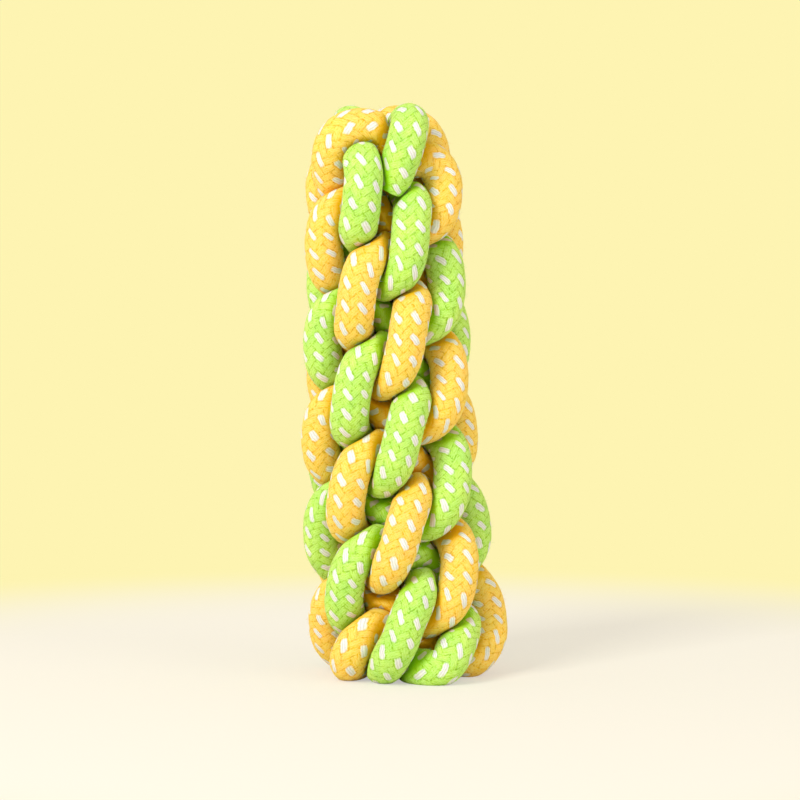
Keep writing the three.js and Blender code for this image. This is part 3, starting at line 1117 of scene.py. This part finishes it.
@dataclass(frozen=True)
class Studio:
    """A pale floor, soft light from the upper left of the front, and the camera."""

    target: Triple = (-0.004, 0.0, 0.09)
    floor_size: float = 12.0
    board: str = "ECE7D6"
    board_seen: str = "FAF6F2"
    board_seen_share: float = 0.5
    board_roughness: float = 0.9
    board_specular: float = 0.1
    backdrop: str = "FEF4B2"
    fade_centre: Triple = (0.0, -0.05, 0.0)
    near_radius: float = 0.16
    far_radius: float = 0.32
    sky: str = "FFF6DC"
    sky_strength: float = 0.76
    camera_place: Triple = (-0.0025, -1.209, 0.185)
    camera_pitch: float = math.radians(4.688)
    focal_length: float = 174.4
    lamps: tuple[Lamp, ...] = (
        Lamp("key_soft_box", (-0.75, -1.0, 0.95), 0.5, 16.3),
        Lamp("fill_soft_box", (1.1, -0.9, 0.5), 0.8, 4.5),
    )

    def build(self) -> None:
        """Makes the floor, the lamps, the world and the camera."""
        self.build_floor()
        self.build_world()
        for lamp in self.lamps:
            lamp.build(self.target)
        camera = bpy.data.objects.new("camera", bpy.data.cameras.new("camera"))
        bpy.context.scene.collection.objects.link(camera)
        camera.data.lens = self.focal_length
        camera.location = self.camera_place
        camera.rotation_euler = (math.pi / 2 - self.camera_pitch, 0, 0)
        bpy.context.scene.camera = camera
        bpy.context.scene.view_settings.view_transform = "Standard"

    def build_floor(self) -> None:
        """Makes the floor, of painted board that is near white round the toy and pale yellow further out."""
        half = self.floor_size / 2
        mesh = bpy.data.meshes.new("floor")
        corners = [(-half, -half, 0), (half, -half, 0), (half, half, 0), (-half, half, 0)]
        mesh.from_pydata(corners, [], [(0, 1, 2, 3)])
        floor = bpy.data.objects.new("floor", mesh)
        bpy.context.scene.collection.objects.link(floor)
        material = bpy.data.materials.new("matt_painted_board")
        material.use_nodes = True
        tree = material.node_tree
        shader = tree.nodes["Principled BSDF"]
        shader.inputs["Base Color"].default_value = linear(self.board)
        shader.inputs["Roughness"].default_value = self.board_roughness
        shader.inputs["Specular IOR Level"].default_value = self.board_specular
        inputs = {0: add_node(tree, "ShaderNodeTexCoord", {}).outputs["Object"], 1: self.fade_centre}
        radius = add_node(tree, "ShaderNodeVectorMath", inputs, operation="DISTANCE").outputs["Value"]
        radii = (self.near_radius, self.far_radius)
        way_out = ranged(tree, radius, radii, interpolation_type="SMOOTHSTEP")
        hue = mixed(tree, way_out, self.board_seen, self.backdrop)
        backdrop = add_node(tree, "ShaderNodeEmission", {"Color": hue}).outputs[0]
        share = ranged(tree, way_out, (0.0, 1.0), (self.board_seen_share, 1.0))
        shown = calculated(tree, "MULTIPLY", share, self.seen_directly(tree))
        both = add_node(tree, "ShaderNodeMixShader", {0: shown, 1: shader.outputs[0], 2: backdrop})
        tree.links.new(both.outputs[0], tree.nodes["Material Output"].inputs["Surface"])
        mesh.materials.append(material)

    def build_world(self) -> None:
        """Makes the even light that comes from all round, and the backdrop's colour."""
        world = bpy.data.worlds.new("studio")
        bpy.context.scene.world = world
        world.use_nodes = True
        tree = world.node_tree
        background = tree.nodes["Background"]
        background.inputs["Color"].default_value = linear(self.sky)
        background.inputs["Strength"].default_value = self.sky_strength
        inputs = {"Color": linear(self.backdrop), "Strength": 1.0}
        backdrop = add_node(tree, "ShaderNodeBackground", inputs).outputs[0]
        inputs = {0: self.seen_directly(tree), 1: background.outputs[0], 2: backdrop}
        both = add_node(tree, "ShaderNodeMixShader", inputs).outputs[0]
        tree.links.new(both, tree.nodes["World Output"].inputs["Surface"])

    def seen_directly(self, tree: Tree) -> Socket:
        """Tells the rays that see the backdrop from those that carry light from it.

        Args:
            tree: The material's or world's tree.

        Returns:
            A socket that is 1 for camera, glossy and transmission rays, and 0 for the others.
        """
        path = add_node(tree, "ShaderNodeLightPath", {}).outputs
        seen = calculated(tree, "MAXIMUM", path["Is Camera Ray"], path["Is Glossy Ray"])
        return calculated(tree, "MAXIMUM", seen, path["Is Transmission Ray"])


def main() -> None:
    """Builds the cords and the studio."""
    knot = Knot()
    # Groove, slit and pressed colours are painted shade, the groove mixed with random fibre tone.
    orange = CottonFinish(
        "braided_cotton_orange", "orange_cord",
        crown="FCDF86", groove="F6BA00", contact_shade="F2B000", slit_shade="BE8400",
    )
    lime = CottonFinish(
        "braided_cotton_lime", "green_cord",
        crown="CCF290", groove="9AD400", contact_shade="92D200", slit_shade="629A00",
    )
    cords = (
        BraidedCord("orange_cord", "orange_cord", 2, Crossing.UNDER, orange),
        BraidedCord("green_cord", "green_cord", 4, Crossing.OVER, lime),
    )
    for cord in cords:
        cord.lay(knot)
    routes = [cord.route for cord in cords]
    for cord in cords:
        cord.build(routes)
    Studio().build()
    LOG.info("boxes written")


if __name__ == "__main__":
    logging.basicConfig(level=logging.INFO)
    main()
